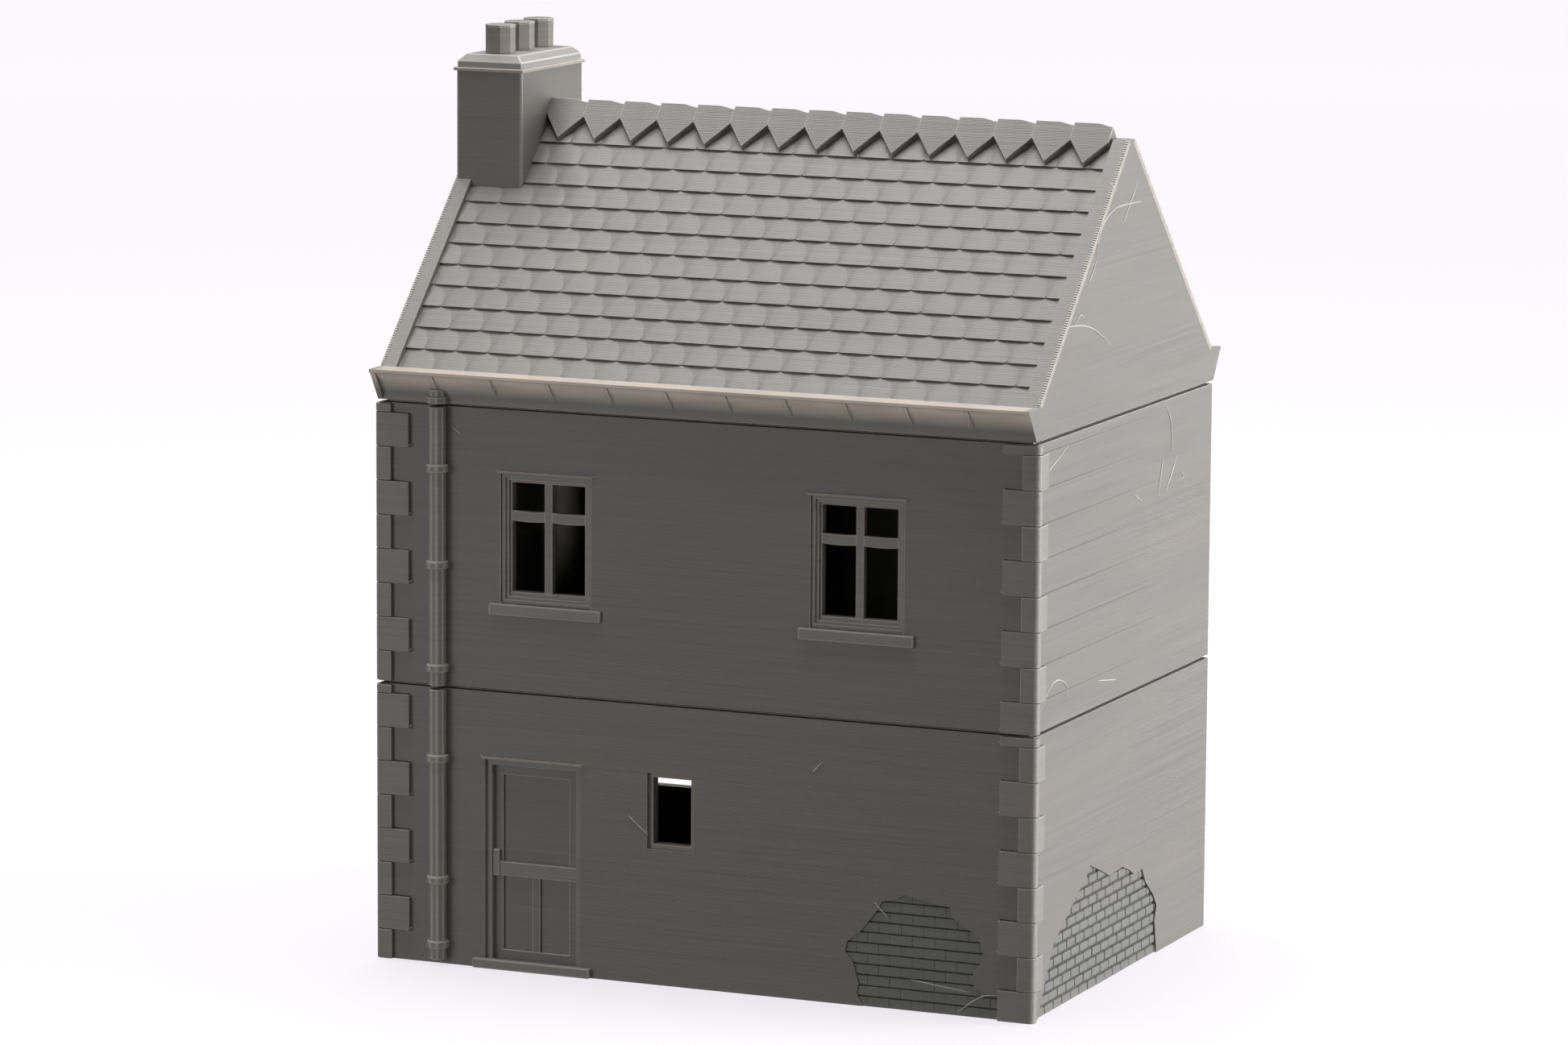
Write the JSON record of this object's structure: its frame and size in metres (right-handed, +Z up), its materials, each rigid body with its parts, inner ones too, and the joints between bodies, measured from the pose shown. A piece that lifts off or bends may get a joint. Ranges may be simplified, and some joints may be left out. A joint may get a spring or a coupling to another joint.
{
  "type": "gaming terrain house",
  "caption": "Two-storey town house for the gaming table in three stacking prints: ground floor, upper floor and tiled roof with chimney; each lifts off for access to the rooms.",
  "frame": {"origin": "middle of the house's footprint on the table, at the underside of the ground floor", "axes": "+Z up, the street front with the door faces -Y, +X to the right seen from the street"},
  "size_m": [0.1012, 0.0768, 0.1321],
  "materials": {
    "grey_print": "satin grey print plastic with fine horizontal layer lines"
  },
  "bodies": {
    "ground_storey": {"ground_floor": "grey_print"},
    "upper_storey": {"upper_floor": "grey_print"},
    "roof_unit": {"roof": "grey_print"}
  },
  "joints": [
    {"name": "upper_floor_lift", "type": "slide", "parent": "ground_storey", "child": "upper_storey", "axis": [0, 0, 1], "range_m": [0, 0.06]},
    {"name": "roof_lift", "type": "slide", "parent": "upper_storey", "child": "roof_unit", "axis": [0, 0, 1], "range_m": [0, 0.06]}
  ]
}
